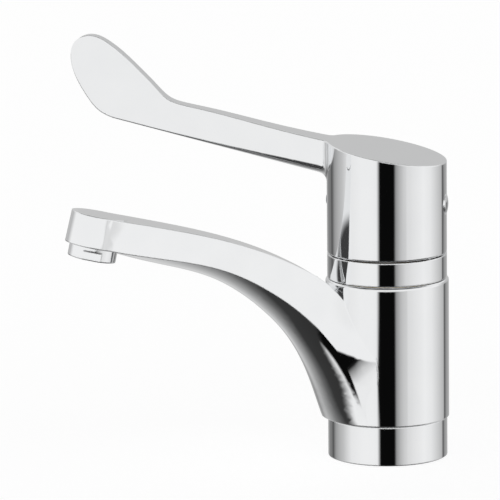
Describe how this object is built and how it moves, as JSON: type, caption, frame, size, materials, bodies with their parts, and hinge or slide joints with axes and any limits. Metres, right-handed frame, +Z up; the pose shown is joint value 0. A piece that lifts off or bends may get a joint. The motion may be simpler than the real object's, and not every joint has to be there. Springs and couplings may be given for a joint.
{
  "type": "elbow lever tap",
  "caption": "Deck-mounted single-lever mixer tap with a long elbow lever on top of a round column and a flat-sided swivel spout.",
  "frame": {"origin": "centre of the base's underside, on the deck", "axes": "+Z up along the column; the spout points along -Y at rest; the lever stands closed, turned 28.5 degrees from the spout towards -X"},
  "size_m": [0.1098, 0.1978, 0.2101],
  "materials": {
    "chrome": "polished",
    "brass": "machined",
    "rubber": "matt",
    "slip_plastic": "smooth",
    "steel": "turned",
    "ceramic": "lapped",
    "cartridge_plastic": "moulded",
    "jet_plastic": "moulded",
    "index_plastic": "smooth"
  },
  "bodies": {
    "body": {"base_ring": "chrome", "foot_gasket": "rubber", "inner_body": "brass", "lower_slip_ring": "slip_plastic", "upper_slip_ring": "slip_plastic", "lower_seal": "rubber", "upper_seal": "rubber", "swivel_stop_pin": "steel", "cover_ring": "chrome", "cartridge_base": "cartridge_plastic", "cartridge_seals": "rubber", "fixed_disc": "ceramic", "cartridge_housing": "cartridge_plastic", "cartridge_nut": "brass"},
    "spout": {"spout": "chrome", "aerator_housing": "chrome", "aerator_insert": "jet_plastic", "aerator_washer": "rubber"},
    "turn": {"cartridge_rotor": "cartridge_plastic", "pivot_pin": "steel"},
    "lever": {"lever": "chrome", "spindle": "brass", "grub_screw": "steel", "rear_cap": "chrome", "index_button": "index_plastic"},
    "disc": {"disc_carrier": "cartridge_plastic", "moving_disc": "ceramic"}
  },
  "joints": [
    {"name": "spout_swivel", "type": "hinge", "parent": "body", "child": "spout", "pos_m": [0, 0, 0.05], "axis": [0, 0, 1], "range_deg": [-60, 60]},
    {"name": "lever_turn", "type": "hinge", "parent": "body", "child": "turn", "pos_m": [0, 0, 0.116], "axis": [0, 0, 1], "range_deg": [-21.5, 78.5]},
    {"name": "lever_lift", "type": "hinge", "parent": "turn", "child": "lever", "pos_m": [0, 0, 0.116], "axis": [-0.8788, 0.4772, 0], "range_deg": [0, 20]},
    {"name": "disc_slide", "type": "slide", "parent": "turn", "child": "disc", "axis": [-0.4772, -0.8788, 0], "range_m": [0, 0.006]}
  ],
  "couplings": [
    {"joint": "disc_slide", "follows": "lever_lift", "m_per_rad": 0.017114}
  ]
}
